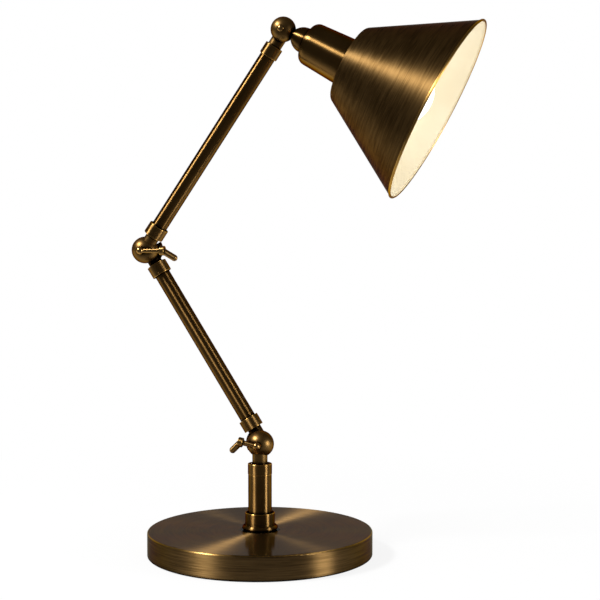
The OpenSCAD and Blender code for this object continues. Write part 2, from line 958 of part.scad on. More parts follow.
module upper_arm_half_ball() {
    color(antique)
        at_upper_arm_end()
            far_half_ball(top_ball_r, top_step, top_ferrule_s);
}

// Half ball of the head, with the hollow stud that carries the dome, cup and lampholder
module head_half_ball() {
    color(antique)
        on_head()
            near_half_ball(
                top_ball_r, 0, top_head_d / 2,
                head_stud_r, head_stud_end, head_stud_r, head_stud_end
            );
}

module top_friction_washer() {
    color(fibre)
        on_head()
            friction_washer(top_ball_r);
}

// Pivot screw of the head, with its domed head on the lever side
module top_pivot_screw() {
    color(antique)
        on_head()
            to_lever_side() {
                rod(screw_r, seat_gap - flat_seat(top_ball_r, screw_r), top_head_seat + edge);
                domed_rod(top_head_d / 2, top_head_seat, top_head_seat + edge, top_head_h - edge);
            }
}

// Bell-shaped dome, hollowed at its tip to pass round the ball
module head_dome() {
    color(antique)
        difference() {
            on_head()
                rotate_extrude()
                    intersection() {
                        translate([dome_d / 2 - dome_arc_r, cup_start - dome_land])
                            circle(r = dome_arc_r);
                        translate([head_stud_r + fit_gap, 0])
                            square([dome_d, cup_start]);
                    }
            on_head()
                sphere(r = top_ball_r + seat_gap);
        }
}

module cup() {
    color(antique)
        on_head()
            rotate_extrude()
                bell_wall_section(
                    cup_back_d / 2, cup_start, cup_end, cup_angle,
                    cup_shoulder_r, cup_wall, head_stud_r + fit_gap
                );
}

module cup_nut() {
    color(steel)
        on_head()
            hex_nut(cup_nut_af, head_stud_r + fit_gap, cup_nut_start, holder_start);
}

module lampholder_cap() {
    color(porcelain)
        on_head()
            ring(holder_r, head_stud_r + fit_gap, holder_start, holder_body_start);
}

// Body with a floor, a shoulder behind the shade and a thread in front of it
module lampholder_body() {
    color(porcelain)
        on_head()
            difference() {
                union() {
                    rod(holder_r, holder_body_start, holder_end);
                    rod(holder_flange_r, holder_flange_s, cup_end);
                }
                rod(wire_r, holder_body_start - cut, holder_floor_s + cut);
                rod(shell_out_r + fit_gap, holder_floor_s, holder_end + cut);
            }
}

module lampholder_shell() {
    color(bright_brass)
        on_head()
            ring(shell_out_r, shell_in_r, holder_floor_s, min(glass_s, holder_end) - face_gap);
}

module lampholder_contact() {
    color(bright_brass)
        on_head()
            rod(contact_d / 2, holder_floor_s, contact_s);
}

// Spun cone with a rounded shoulder and a rolled mouth
module shade() {
    color(shade_brown)
        on_head()
            rotate_extrude() {
                bell_wall_section(
                    shade_back_d / 2, cup_end, shade_end - shade_roll_r, shade_angle,
                    shade_shoulder_r, shade_wall, holder_r + face_gap
                );
                translate([shade_mouth_d / 2 - shade_roll_r, shade_end - shade_roll_r])
                    circle(r = shade_roll_r);
            }
}

// Ring that clamps the shade to the lampholder
module shade_ring() {
    color(porcelain)
        on_head()
            chamfered_ring(
                ring_d / 2, holder_r + fit_gap, ring_s, ring_s + ring_h, edge, edge
            );
}

// Hollow screw cap of the bulb: tapered foot and a rolled thread
module bulb_cap() {
    pitch = (glass_s - bulb_cap_s) / (bulb_turns + 1);
    root_r = bulb_cap_r - bulb_thread_r;
    color(bright_brass)
        on_head()
            difference() {
                rotate_extrude() {
                    polygon([
                        [0, contact_s], [bulb_contact_d / 2, contact_s],
                        [root_r, bulb_cap_s], [root_r, glass_s], [0, glass_s]
                    ]);
                    for (turn = [1 : bulb_turns])
                        translate([root_r, bulb_cap_s + turn * pitch])
                            circle(r = bulb_thread_r);
                }
                rod(bulb_neck_d / 2 - glass_t - bulb_cap_t, bulb_cap_s, glass_s + cut);
            }
}

// Half section of the bulb's glass, with its neck drawn to a tangent on the round end
module glass_section(r, neck) {
    reach = norm([neck, bulb_mid - glass_s]);
    side = sqrt(pow(reach, 2) - pow(r, 2));
    lean = atan2(bulb_mid - glass_s, -neck) - asin(r / reach);
    intersection() {
        union() {
            polygon([
                [0, glass_s], [neck, glass_s],
                [neck + side * cos(lean), glass_s + side * sin(lean)], [0, bulb_mid]
            ]);
            translate([0, bulb_mid])
                circle(r = r);
        }
        translate([0, glass_s])
            square([r + cut, bulb_l]);
    }
}

module bulb_glass() {
    color(milk_glass)
        on_head()
            rotate_extrude()
                difference() {
                    glass_section(bulb_r, bulb_neck_d / 2);
                    glass_section(bulb_r - glass_t, bulb_neck_d / 2 - glass_t);
                }
}

base_cover();
base_weight();
base_pad();
cord_inlet_bush();
base_pipe();
base_washer();
base_nut();
stem_bead();
stem_collar();
stem_tube();
stem_anchor();
swivel_bush();
swivel_stop();
stem_cap();
swivel_spindle();
swivel_nut();
stem_half_ball();
lower_friction_washer();
lower_clamp_screw();
lower_lever();
lower_grip();
lower_arm_half_ball();
lower_arm_bottom_ferrule();
lower_arm_tube();
lower_arm_top_ferrule();
elbow_far_half_ball();
elbow_near_half_ball();
elbow_friction_washer();
elbow_clamp_screw();
elbow_lever();
elbow_grip();
upper_arm_bottom_ferrule();
upper_arm_tube();
upper_arm_top_ferrule();
upper_arm_half_ball();
head_half_ball();
top_friction_washer();
top_pivot_screw();
head_dome();
cup();
cup_nut();
lampholder_cap();
lampholder_body();
lampholder_shell();
lampholder_contact();
shade();
shade_ring();
bulb_cap();
bulb_glass();
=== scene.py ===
import json
import math

import bpy
from mathutils import Matrix, Vector


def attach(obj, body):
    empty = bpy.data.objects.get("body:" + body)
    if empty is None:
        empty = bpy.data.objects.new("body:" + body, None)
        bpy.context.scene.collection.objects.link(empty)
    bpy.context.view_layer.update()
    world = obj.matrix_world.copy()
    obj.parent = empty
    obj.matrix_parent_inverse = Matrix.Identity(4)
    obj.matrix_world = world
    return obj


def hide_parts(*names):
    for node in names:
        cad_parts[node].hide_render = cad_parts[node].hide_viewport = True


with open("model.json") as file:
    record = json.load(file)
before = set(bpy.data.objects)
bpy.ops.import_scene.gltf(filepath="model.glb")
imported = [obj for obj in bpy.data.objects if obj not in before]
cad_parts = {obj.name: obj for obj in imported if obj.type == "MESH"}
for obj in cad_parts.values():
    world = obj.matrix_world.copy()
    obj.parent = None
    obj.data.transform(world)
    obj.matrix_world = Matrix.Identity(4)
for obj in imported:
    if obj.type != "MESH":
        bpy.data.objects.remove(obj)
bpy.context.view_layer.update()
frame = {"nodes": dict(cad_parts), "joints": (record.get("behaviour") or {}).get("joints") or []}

# Camera: a 90 mm lens at the lamp's middle height, a little to the right of the arms' plane and
# looking slightly down.
view_turn = math.radians(12.582)
view_dip = math.radians(-3.836)
level_reach = math.cos(view_dip)
looking = Vector(
    (-math.sin(view_turn) * level_reach, math.cos(view_turn) * level_reach, math.sin(view_dip))
)
camera = bpy.data.objects.new("camera", bpy.data.cameras.new("camera"))
camera.data.sensor_width = 36
camera.data.lens = 90
camera.location = (0.32175, -1.27839, 0.315415)
camera.rotation_euler = looking.to_track_quat("-Z", "Y").to_euler()
bpy.context.scene.collection.objects.link(camera)
bpy.context.scene.camera = camera
bpy.context.scene.view_settings.view_transform = "Standard"


# Base cover: a shallow drum spun from brass sheet, held to the weight by the pipe under the
# stem. Its top and side are brushed round the axis, browned and lacquered, and the top edge is
# coloured gold, as rubbed wear and as painted highlight.
class Wire:
    """A value in a finish: Python's operators on it add Math nodes."""

    def __init__(self, finish, socket):
        self.finish = finish
        self.socket = socket

    def _math(self, operation, first, second):
        return self.finish.node("ShaderNodeMath", {"operation": operation}, {0: first, 1: second})

    def __add__(self, other):
        return self._math("ADD", self, other)

    def __sub__(self, other):
        return self._math("SUBTRACT", self, other)

    def __mul__(self, other):
        return self._math("MULTIPLY", self, other)

    def __truediv__(self, other):
        return self._math("DIVIDE", self, other)

    def __pow__(self, other):
        return self._math("POWER", self, other)

    def __radd__(self, other):
        return self._math("ADD", other, self)

    def __rsub__(self, other):
        return self._math("SUBTRACT", other, self)

    def __rmul__(self, other):
        return self._math("MULTIPLY", other, self)

    def __rtruediv__(self, other):
        return self._math("DIVIDE", other, self)

    def __rpow__(self, other):
        return self._math("POWER", other, self)


class Finish:
    """A surface finish: a procedural material, or the world, made node by node."""

    def __init__(self, name, world=False):
        self.data = (bpy.data.worlds if world else bpy.data.materials).new(name)
        self.data.use_nodes = True
        self.tree = self.data.node_tree
        self.shader = self.tree.nodes.get("Principled BSDF")
        self.output = self.tree.nodes["World Output" if world else "Material Output"]

    def node(self, kind, settings=None, sockets=None, out=0):
        """A node of a kind: its settings come first, then its sockets' values or links."""
        made = self.tree.nodes.new(kind)
        for key, value in (settings or {}).items():
            setattr(made, key, value)
        self.feed(made, sockets or {})
        return Wire(self, made.outputs[out])

    def feed(self, made, sockets):
        for key, value in sockets.items():
            by_name = [s for s in made.inputs if key in (s.identifier, s.name)]
            socket = made.inputs[key] if isinstance(key, int) else by_name[0]
            if isinstance(value, Wire):
                self.tree.links.new(value.socket, socket)
            elif socket.type == "RGBA":
                socket.default_value = (*value, 1)
            else:
                socket.default_value = value

    def surface(self, **sockets):
        self.feed(self.shader, {key.replace("_", " "): value for key, value in sockets.items()})
        return self.data

    def place(self):
        """The spot on the piece, in metres in the piece's own frame."""
        return self.node("ShaderNodeTexCoord", out=3)

    def split(self, vector):
        made = self.node("ShaderNodeSeparateXYZ", None, {0: vector})
        return [Wire(self, socket) for socket in made.socket.node.outputs]

    def speckle(self, vector, scale, detail=3, roughness=0.5):
        return self.node(
            "ShaderNodeTexNoise", None,
            {"Vector": vector, "Scale": scale, "Detail": detail, "Roughness": roughness},
        )

    def blend(self, share, first, second):
        return self.node(
            "ShaderNodeMix", {"data_type": "RGBA"},
            {"Factor_Float": share, "A_Color": first, "B_Color": second}, 2,
        )

    def limit(self, value, low, high):
        """The value, brought smoothly from 0 at low to 1 at high."""
        return self.node(
            "ShaderNodeMapRange", {"interpolation_type": "SMOOTHSTEP"}, {0: value, 1: low, 2: high}
        )

    def patina_and_shade(self, colour, reach=0.004):
        """The colour, going dark where another piece stands within reach: patina and painted shade.
        """
        open_sky = self.node("ShaderNodeAmbientOcclusion", {"samples": 8}, {"Distance": reach}, 1)
        return self.blend(self.limit(open_sky, 0.6, 0.98), (0.008, 0.0045, 0.0015), colour)

    def worn_highlit_edge(self):
        """1 on a turned piece's gold edge, rubbed wear and painted highlight, and 0 elsewhere."""
        return self.node("ShaderNodeAttribute", {"attribute_name": "edge"}, None, 2)

    def bump(self, height, strength, depth):
        return self.node(
            "ShaderNodeBump", None, {"Height": height, "Strength": strength, "Distance": depth}
        )


def brushed_brass(name, grain, rough, deep, pale, gold, metal, graze, lacquer=0.0, corner=None):
    """Brass brushed round its axis; corner is the radius and height of an edge coloured gold,
    as rubbed wear and as painted highlight.

    The flat inside that edge is coloured darker than the side.
    """
    finish = Finish(name)
    x, y, z = finish.split(finish.place())
    radius = (x * x + y * y) ** 0.5
    along = radius + z
    off_axis = 0.0001
    turn_x = x / (radius + off_axis)
    turn_y = y / (radius + off_axis)

    def strokes(fineness, spread):
        spot = finish.node(
            "ShaderNodeCombineXYZ", None,
            {0: along * fineness, 1: turn_x * spread, 2: turn_y * spread},
        )
        return finish.speckle(spot, 1.0, 2, 0.6)

    coarse_lines, fine_lines = 420 * grain, 1500 * grain
    coarse = strokes(coarse_lines, 2.5)
    fine = strokes(fine_lines, 5.0)
    cloud = finish.speckle(finish.place(), 28, 3)
    line = 0.6 * coarse + 0.4 * fine
    tone = finish.limit(0.8 * line + 0.2 * cloud, 0.34, 0.66)
    # The corner mask colours the top rim gold: rubbed wear and painted highlight.
    if corner:
        rim_r, rim_top = corner
        gold_start, gold_full = 0.0014, 0.0004
        outer = finish.limit(radius, rim_r - gold_start, rim_r - gold_full)
        edge = outer * finish.limit(z, rim_top - gold_start, rim_top - gold_full)
        flat = finish.limit(z, rim_top - 0.0003, rim_top - 0.0001)
        tone = tone * (1.0 - 0.45 * flat)
    else:
        edge = finish.worn_highlit_edge()
    brown = finish.blend(tone, deep, pale)
    return finish.surface(
        # Edges are gold and fully metallic: rubbed wear and painted highlight.
        Metallic=metal + (1.0 - metal) * edge if metal < 1.0 else metal,
        # Near other pieces the colour goes dark: patina and painted shade.
        Base_Color=finish.blend(edge, finish.patina_and_shade(brown), gold),
        Roughness=rough + 0.12 * line - 0.08 * edge,
        Anisotropic=0.95,
        Anisotropic_Rotation=0.25,
        Specular_Tint=graze,
        Coat_Weight=lacquer,
        Coat_Roughness=0.12,
    )


def dress(finish, *nodes):
    """Give a finish to pieces that keep the mesh they have in the frame."""
    for name in nodes:
        node = frame["nodes"][name]
        node.data.materials.clear()
        node.data.materials.append(finish)


cover_r, cover_top = 100.0, 22.5
base_brass = brushed_brass(
    "base_brushed_brass", grain=2.2, rough=0.40, deep=(0.120, 0.068, 0.022),
    pale=(0.285, 0.168, 0.060), gold=(0.50, 0.29, 0.085), metal=1.0,
    graze=(0.225, 0.228, 0.060), lacquer=0.10, corner=(cover_r / 1000, cover_top / 1000),
)
dress(base_brass, "base_cover")


# Foot of the base: a cast iron weight inside the cover, on a black felt pad. A rubber bush lines
# the cord's way out at the back.
def plain(name, dark, light, scale, roughness, metallic=0.0, depth=0.0, vary=0.15):
    """A finish that is the same all over but for a speckle in colour, gloss and height."""
    finish = Finish(name)
    cloud = finish.speckle(finish.place(), scale, 5, 0.6)
    return finish.surface(
        Base_Color=finish.blend(finish.limit(cloud, 0.3, 0.7), dark, light),
        Roughness=roughness - vary / 2 + vary * cloud,
        Metallic=metallic,
        Normal=finish.bump(cloud, 0.4, depth),
    )


cast_iron = plain(
    "cast_iron", (0.03, 0.03, 0.032), (0.07, 0.07, 0.074), 400, 0.6, metallic=0.8, depth=0.0003
)
black_felt = plain(
    "black_felt", (0.008, 0.008, 0.008), (0.03, 0.03, 0.03), 2500, 0.95, depth=0.0006
)
black_rubber = plain(
    "black_rubber", (0.010, 0.010, 0.010), (0.022, 0.022, 0.022), 900, 0.55, depth=0.0001
)
dress(cast_iron, "base_weight")
dress(black_felt, "base_pad")
dress(black_rubber, "cord_inlet_bush")


# Stem: a brass tube with a half-round bead and a collar slipped over its foot. All three are
# polished on the lathe and browned, and their rims are coloured gold as rubbed wear and as
# painted highlight.
def rounded(corners):
    """Outline of a turned piece: (radius, height, 1 on a gold edge, corner) along its corners.

    A corner is (radius, height, fillet); a fillet of None is a point of a gold rim. The gold of
    rims and small fillets is rubbed wear and painted highlight.
    """
    hold, widest_gold_fillet = 0.15, 2
    facet, fewest, most = 0.12, 4, 14
    outline = []
    for at, (r, z, fillet) in enumerate(corners):
        corner = Vector((r, z))
        before, beyond = corners[at - 1], corners[(at + 1) % len(corners)]
        back, ahead = Vector(before[:2]) - corner, Vector(beyond[:2]) - corner
        back_way, ahead_way = back.normalized(), ahead.normalized()
        if not fillet:
            if fillet is None and before[2] is not None:
                outline.append((*(corner + back_way * hold), 0.0, at))
            outline.append((r, z, 1.0 if fillet is None else 0.0, at))
            if fillet is None and beyond[2] is not None:
                outline.append((*(corner + ahead_way * hold), 0.0, at))
            continue
        half = back.angle(ahead) / 2
        reach = fillet / math.tan(half)
        middle = corner + (back_way + ahead_way).normalized() * fillet / math.sin(half)
        start = corner + back_way * reach
        first = start - middle
        sweep = (corner + ahead_way * reach - middle).angle_signed(first)
        steps = max(fewest, min(most, round(fillet * abs(sweep) / facet)))
        back_hold = min(hold, 0.4 * (back.length - reach))
        outline.append((*(start + back_way * back_hold), 0.0, at))
        for step in range(steps + 1):
            spot = middle + Matrix.Rotation(sweep * step / steps, 2) @ first
            outline.append((*spot, 1.0 if fillet < widest_gold_fillet else 0.0, at))
        ahead_hold = min(hold, 0.4 * (ahead.length - reach))
        outline.append((*(corner + ahead_way * (reach + ahead_hold)), 0.0, at))
    return outline


def turned(name, corners, place, body, node, finishes, sides=128, lined_from=None):
    """A piece turned round its own Z axis from a closed outline in millimetres, put at place.

    From the corner lined_from on, the second finish covers it.
    """
    sharp_from = math.radians(40)
    outline = rounded(corners)
    points, edges, faces, coats = [], [], [], []
    for at, (r, z, edge, corner) in enumerate(outline):
        ring, other = at * sides, (at + 1) % len(outline) * sides
        for side in range(sides):
            angle, after = 2 * math.pi * side / sides, (side + 1) % sides
            points.append((r * math.cos(angle) / 1000, r * math.sin(angle) / 1000, z / 1000))
            edges.append(edge)
            faces.append((ring + side, ring + after, other + after, other + side))
            coats.append(int(lined_from is not None and corner >= lined_from))
    mesh = bpy.data.meshes.new(name)
    mesh.from_pydata(points, [], faces)
    mesh.polygons.foreach_set("use_smooth", [True] * len(faces))
    mesh.set_sharp_from_angle(angle=sharp_from)
    mesh.polygons.foreach_set("material_index", coats)
    mesh.attributes.new("edge", "FLOAT", "POINT").data.foreach_set("value", edges)
    for finish in finishes:
        mesh.materials.append(finish)
    piece = bpy.data.objects.new(name, mesh)
    bpy.context.scene.collection.objects.link(piece)
    piece.matrix_world = place
    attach(piece, body)
    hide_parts(node)


# Gold of worn edges, which also stands as their painted highlight.
worn_highlight_gold = (0.72, 0.42, 0.115)
brown_graze = (0.14, 0.09, 0.045)


def polished_brass(
    name, rough, dark=(0.225, 0.123, 0.036), light=(0.295, 0.165, 0.052), graze=brown_graze, lay=1.0
):
    """Browned brass polished along its axis; lay is how far the polish marks run one way."""
    finish = Finish(name)
    cloud = finish.speckle(finish.place(), 45, 4)
    # Worn edges go gold, as wear and as painted highlight.
    edge = finish.worn_highlit_edge()
    brown = finish.blend(finish.limit(cloud, 0.3, 0.7), dark, light)
    return finish.surface(
        Metallic=1.0,
        # Near other pieces the colour goes dark: patina and painted shade.
        Base_Color=finish.blend(edge, finish.patina_and_shade(brown), worn_highlight_gold),
        Roughness=rough + 0.03 * cloud,
        Anisotropic=lay,
        Anisotropic_Rotation=0.25,
        Specular_Tint=graze,
    )


stem_brass = polished_brass("stem_polished_brass", 0.36)
upright = Matrix.Identity(4)
stem_r, stem_in, stem_top = 10.5, 9.3, 72.5
slip_r = stem_r + 0.02
bead_r, bead_mid_r = 2.5, 13.3
bead_mid, bead_top = cover_top + bead_r, cover_top + 2 * bead_r
collar_r, collar_top = 13.2, 38.2
bead_round = [
    (bead_mid_r + bead_r * math.sin(a), bead_mid - bead_r * math.cos(a), 0)
    for a in [math.pi * step / 14 for step in range(15)]
]
turned(
    "stem_bead_ring", [(slip_r, cover_top, 0)] + bead_round + [(slip_r, bead_top, 0)],
    upright, "base", "stem_bead", [stem_brass],
)
turned(
    "stem_collar_ring",
    [(slip_r, bead_top, 0), (collar_r, bead_top, 0.25), (collar_r, collar_top, 0.45)]
    + [(slip_r, collar_top, 0)],
    upright, "base", "stem_collar", [stem_brass],
)
turned(
    "stem_pillar",
    [(stem_in, cover_top, 0), (stem_r, cover_top, 0), (stem_r, stem_top, 0.2)]
    + [(stem_in, stem_top, 0)],
    upright, "base", "stem_tube", [stem_brass],
)

# Swivel at the top of the stem: a brass cap on a hollow spindle that turns in a bush, held by a
# nut and stopped by a pin. Only the cap and the seam below it show.
cap_r, cap_foot, cap_top = 10.75, 72.6, 82
wire_r = 1.5
spindle_hole_r, spindle_seat = 4.02, 77.6
neck_hole_r, neck_foot = 4.52, 78.6
turned(
    "stem_swivel_cap",
    [(wire_r, spindle_seat, 0), (spindle_hole_r, spindle_seat, 0), (spindle_hole_r, cap_foot, 0)]
    + [(cap_r, cap_foot, 0.25), (cap_r, cap_top, 0.6), (neck_hole_r, cap_top, 0)]
    + [(neck_hole_r, neck_foot, 0), (wire_r, neck_foot, 0)],
    upright, "swivel", "stem_cap", [stem_brass],
)
turned_brass = plain(
    "turned_brass", (0.50, 0.33, 0.12), (0.62, 0.43, 0.18), 700, 0.3, metallic=1.0, depth=0.00005
)
zinc_steel = plain(
    "zinc_steel", (0.42, 0.42, 0.43), (0.56, 0.56, 0.57), 300, 0.4, metallic=1.0, depth=0.00005
)
dress(turned_brass, "stem_anchor", "swivel_bush", "swivel_spindle")
dress(zinc_steel, "base_pipe", "base_washer", "base_nut", "swivel_stop", "swivel_nut")


# Knuckles: three brass balls, each split in two halves that turn on a fibre washer. A clamp
# screw draws the two lower balls tight, and the top one has a domed screw.
def ball_brass(name, dark, light, rough, reach):
    """Browned brass polished all ways; within reach of a piece it darkens as patina and painted
    shade.
    """
    finish = Finish(name)
    cloud = finish.speckle(finish.place(), 60, 4)
    fine = finish.speckle(finish.place(), 1500, 2)
    tone = finish.limit(0.7 * cloud + 0.3 * fine, 0.3, 0.7)
    return finish.surface(
        Metallic=1.0,
        # Near other pieces the colour goes dark: patina and painted shade.
        Base_Color=finish.patina_and_shade(finish.blend(tone, dark, light), reach),
        Roughness=rough + 0.04 * fine,
        Specular_Tint=brown_graze,
    )


knuckle_brass = ball_brass(
    "knuckle_polished_brass", (0.21, 0.118, 0.037), (0.28, 0.160, 0.052), 0.35, 0.006
)
# A lighter copy of the knuckles' brass for the lever hubs and the top screw: handling polish and
# painted highlight.
handled_highlit_brass = ball_brass(
    "handled_highlit_brass", (0.46, 0.265, 0.086), (0.58, 0.345, 0.120), 0.24, 0.001
)
brown_fibre = plain(
    "brown_fibre", (0.03, 0.018, 0.01), (0.06, 0.036, 0.02), 900, 0.8, depth=0.0001
)
dress(
    knuckle_brass,
    "stem_half_ball", "lower_arm_half_ball", "elbow_far_half_ball", "elbow_near_half_ball",
    "upper_arm_half_ball", "head_half_ball",
)
dress(handled_highlit_brass, "top_pivot_screw")
dress(turned_brass, "lower_clamp_screw", "elbow_clamp_screw")
dress(brown_fibre, "lower_friction_washer", "elbow_friction_washer", "top_friction_washer")

# Clamp levers: a round hub on the end of each clamp screw carries a tapered rod with a knob, and
# a round-ended grip is let into the knob at an angle. All are turned from brass bar, and their
# brass is lighter than the balls', as polish from handling and as painted highlight.
pivots = {joint["name"]: Vector(joint["pos_m"]) for joint in frame["joints"]}
# A lighter copy of the stem's brass for the rods and grips: handling polish and painted highlight.
highlit_lever_brass = polished_brass(
    "lever_polished_brass", 0.32, (0.36, 0.207, 0.066), (0.46, 0.270, 0.092), lay=0.75
)
quarter = math.pi / 2
lever_sides = 64
ball_r, seat_gap, face_gap = 12.0, 0.3, 0.1
hub_r, hub_crown = 3.5, 1.3
rod_r, rod_tip_r, rod_start = 2.1, 2.4, 1
knob_r, knob_l, knob_round = 4.3, 4.4, 0.5
grip_r, grip_seat = 2.9, 1.2
centre_drill = 0.05
hub_base = math.sqrt(ball_r**2 - (hub_r + seat_gap) ** 2) + face_gap
lever_rise = hub_base + rod_tip_r + face_gap
hub_tip = lever_rise + rod_tip_r + seat_gap + hub_crown


def crown(radius, low):
    """Points of a round end that rises from a radius at low, in to the axis."""
    turns = [quarter * (1 - step / 12) for step in range(1, 12)]
    return [(radius * math.sin(a), low + radius * math.cos(a), 0) for a in turns] + [
        (centre_drill, low + radius, 0)
    ]


def clamp_lever(name, angle, reach, bend, grip_l):
    """Lever of the knuckle called name: reach is from the pivot to the knob."""
    body = name + "_clamp"
    rise, knob_end = lever_rise / 1000, reach + knob_l
    lever = Matrix.Translation(pivots[body + "_turn"])
    lever = lever @ Matrix.Rotation(math.radians(-angle), 4, "Y")
    along = Matrix.Translation((0, -rise, 0)) @ Matrix.Rotation(quarter, 4, "Y")
    knob_mid = Matrix.Translation(((reach + knob_l / 2) / 1000, -rise, 0))
    turned(
        name + "_lever_hub",
        [(centre_drill, hub_base, 0), (hub_r, hub_base, 0), (hub_r, hub_tip - hub_r, 0)]
        + crown(hub_r, hub_tip - hub_r),
        lever @ Matrix.Rotation(quarter, 4, "X"),
        body, name + "_lever", [handled_highlit_brass], lever_sides,
    )
    turned(
        name + "_lever_rod",
        [(centre_drill, rod_start, 0), (rod_r, rod_start, 0), (rod_tip_r, reach, 0)]
        + [(knob_r, reach, knob_round), (knob_r, knob_end, knob_round)]
        + [(centre_drill, knob_end, 0)],
        lever @ along,
        body, name + "_lever", [highlit_lever_brass], lever_sides,
    )
    turned(
        name + "_lever_grip",
        [(centre_drill, grip_seat, 0), (grip_r, grip_seat, 0), (grip_r, grip_l - grip_r, 0)]
        + crown(grip_r, grip_l - grip_r),
        lever @ knob_mid @ Matrix.Rotation(math.radians(90 + bend), 4, "Y"),
        body, name + "_grip", [highlit_lever_brass], lever_sides,
    )


clamp_lever("lower", angle=168, reach=12.7, bend=-57, grip_l=13.0)
clamp_lever("elbow", angle=0, reach=18.5, bend=30, grip_l=15.5)

# Arms: two straight brass tubes, each pressed and soldered into a short ferrule at both ends.
# The necks of the knuckles stand in the ferrules.
near_step, far_step = Vector((0, 0.0022, 0)), Vector((0, 0.008, 0))
lower_lean, upper_lean = math.radians(-31.8), math.radians(33.95)
lower_foot = Matrix.Translation(pivots["lower_arm_tilt"] + far_step)
upper_foot = Matrix.Translation(pivots["elbow"] - near_step)
lower_axis = lower_foot @ Matrix.Rotation(lower_lean, 4, "Y")
upper_axis = upper_foot @ Matrix.Rotation(upper_lean, 4, "Y")
# A darker copy of the stem's brass, darker too at grazing angles: painted shade on the arm tubes.
shaded_arm_brass = polished_brass(
    "arm_polished_brass", 0.36, (0.172, 0.092, 0.026), (0.222, 0.121, 0.036), (0.09, 0.055, 0.027)
)
# A lighter copy of the stem's brass: painted light on the ferrules.
lit_ferrule_brass = polished_brass(
    "ferrule_polished_brass", 0.44, (0.27, 0.152, 0.047), (0.34, 0.196, 0.064)
)
lower_l, upper_l = 201.5, 231.0
tube_r, tube_in, tube_hole_r = 7.0, 6.0, 7.02
neck_r, neck_depth = 6.22, 3.5
ferrule_r, slim_r, ferrule_l, ferrule_round = 9.1, 8.2, 10.5, 0.45
knuckle_reach, top_reach = 15, 16.4


def ferrule(name, radius, start, step, axis, body, node):
    """Ferrule from start, where the neck comes in, on in the direction of step."""
    end, seat = start + step * ferrule_l, start + step * neck_depth
    turned(
        name,
        [(neck_r, start, 0), (radius, start, ferrule_round), (radius, end, ferrule_round)]
        + [(tube_hole_r, end, 0), (tube_hole_r, seat, 0), (neck_r, seat, 0)],
        axis, body, node, [lit_ferrule_brass],
    )


def arm(body, length, axis, head_r, head_reach):
    """Tube and ferrules of one arm: the head ferrule has its own radius and place."""
    foot, head = knuckle_reach + neck_depth, length - head_reach - neck_depth
    ferrule(
        body + "_foot_ferrule", ferrule_r, knuckle_reach, 1, axis, body, body + "_bottom_ferrule"
    )
    turned(
        body + "_bar",
        [(tube_in, foot, 0), (tube_r, foot, 0), (tube_r, head, 0), (tube_in, head, 0)],
        axis, body, body + "_tube", [shaded_arm_brass],
    )
    ferrule(
        body + "_head_ferrule", head_r, length - head_reach, -1, axis, body, body + "_top_ferrule"
    )


arm("lower_arm", lower_l, lower_axis, ferrule_r, knuckle_reach)
arm("upper_arm", upper_l, upper_axis, slim_r, top_reach)

# Head: a turned bell and a spun cup of brass on a hollow stud, held by a nut inside the cup. Both
# are polished round their axis, and the cup hides the back of the lampholder.
head_tilt = math.radians(27.8)
head_foot = Matrix.Translation(pivots["head_tilt"])
head_axis = head_foot @ Matrix.Rotation(quarter + head_tilt, 4, "Y")
stud_hole_r = 4.62
ball_seat = [(stud_hole_r, 10.313, 0), (4.86, 10.201, 0)]
bell_r, bell_sweep_r, bell_mid = 11.2, 14.1, 21.7
bell_start = 34.55
bell_round = [
    (bell_sweep_r * math.sin(a) - bell_sweep_r + bell_r, bell_mid - bell_sweep_r * math.cos(a), 0)
    for a in [math.radians(bell_start + (90 - bell_start) * step / 16) for step in range(17)]
]
cup_back, cup_end, cup_wall = 22.7, 65, 0.8
cup_back_r, cup_mouth_r, cup_round, cup_lip = 18.5, 21.15, 7.5, 0.15
cup_floor = cup_back + cup_wall
cup_brass = polished_brass("cup_polished_brass", 0.30)
turned(
    "head_bell",
    [(stud_hole_r, cup_back, 0)] + ball_seat + bell_round + [(bell_r, cup_back, 0.2)],
    head_axis, "head", "head_dome", [stem_brass],
)
turned(
    "lampholder_cup",
    [(stud_hole_r, cup_back, 0), (cup_back_r, cup_back, cup_round)]
    + [(cup_mouth_r, cup_end, cup_lip), (cup_mouth_r - cup_wall, cup_end, cup_lip)]
    + [(cup_back_r - cup_wall, cup_floor, cup_round - cup_wall), (stud_hole_r, cup_floor, 0)],
    head_axis, "head", "cup", [cup_brass], 160,
)
dress(zinc_steel, "cup_nut")

# Lampholder: a white heat-proof body with a brass screw shell and centre contact. A ring on its
# front clamps the shade.
holder_white = plain(
    "holder_white", (0.80, 0.79, 0.76), (0.88, 0.87, 0.84), 250, 0.35, depth=0.00005, vary=0.06
)
dress(holder_white, "lampholder_cap", "lampholder_body", "shade_ring")
dress(turned_brass, "lampholder_shell", "lampholder_contact", "bulb_cap")


# Shade: a cone spun from brass sheet, brushed round its axis, with a rounded shoulder and a
# rolled rim coloured gold, as rubbed wear and as painted highlight. The inside is stove
# enamelled in cream.
def cream_enamel(name):
    finish = Finish(name)
    cloud = finish.speckle(finish.place(), 35, 3)
    grain = finish.speckle(finish.place(), 1800, 2)
    tone = finish.limit(cloud, 0.3, 0.7)
    return finish.surface(
        Base_Color=finish.blend(tone, (0.80, 0.705, 0.50), (0.84, 0.745, 0.54)),
        Roughness=0.42 + 0.08 * grain,
    )


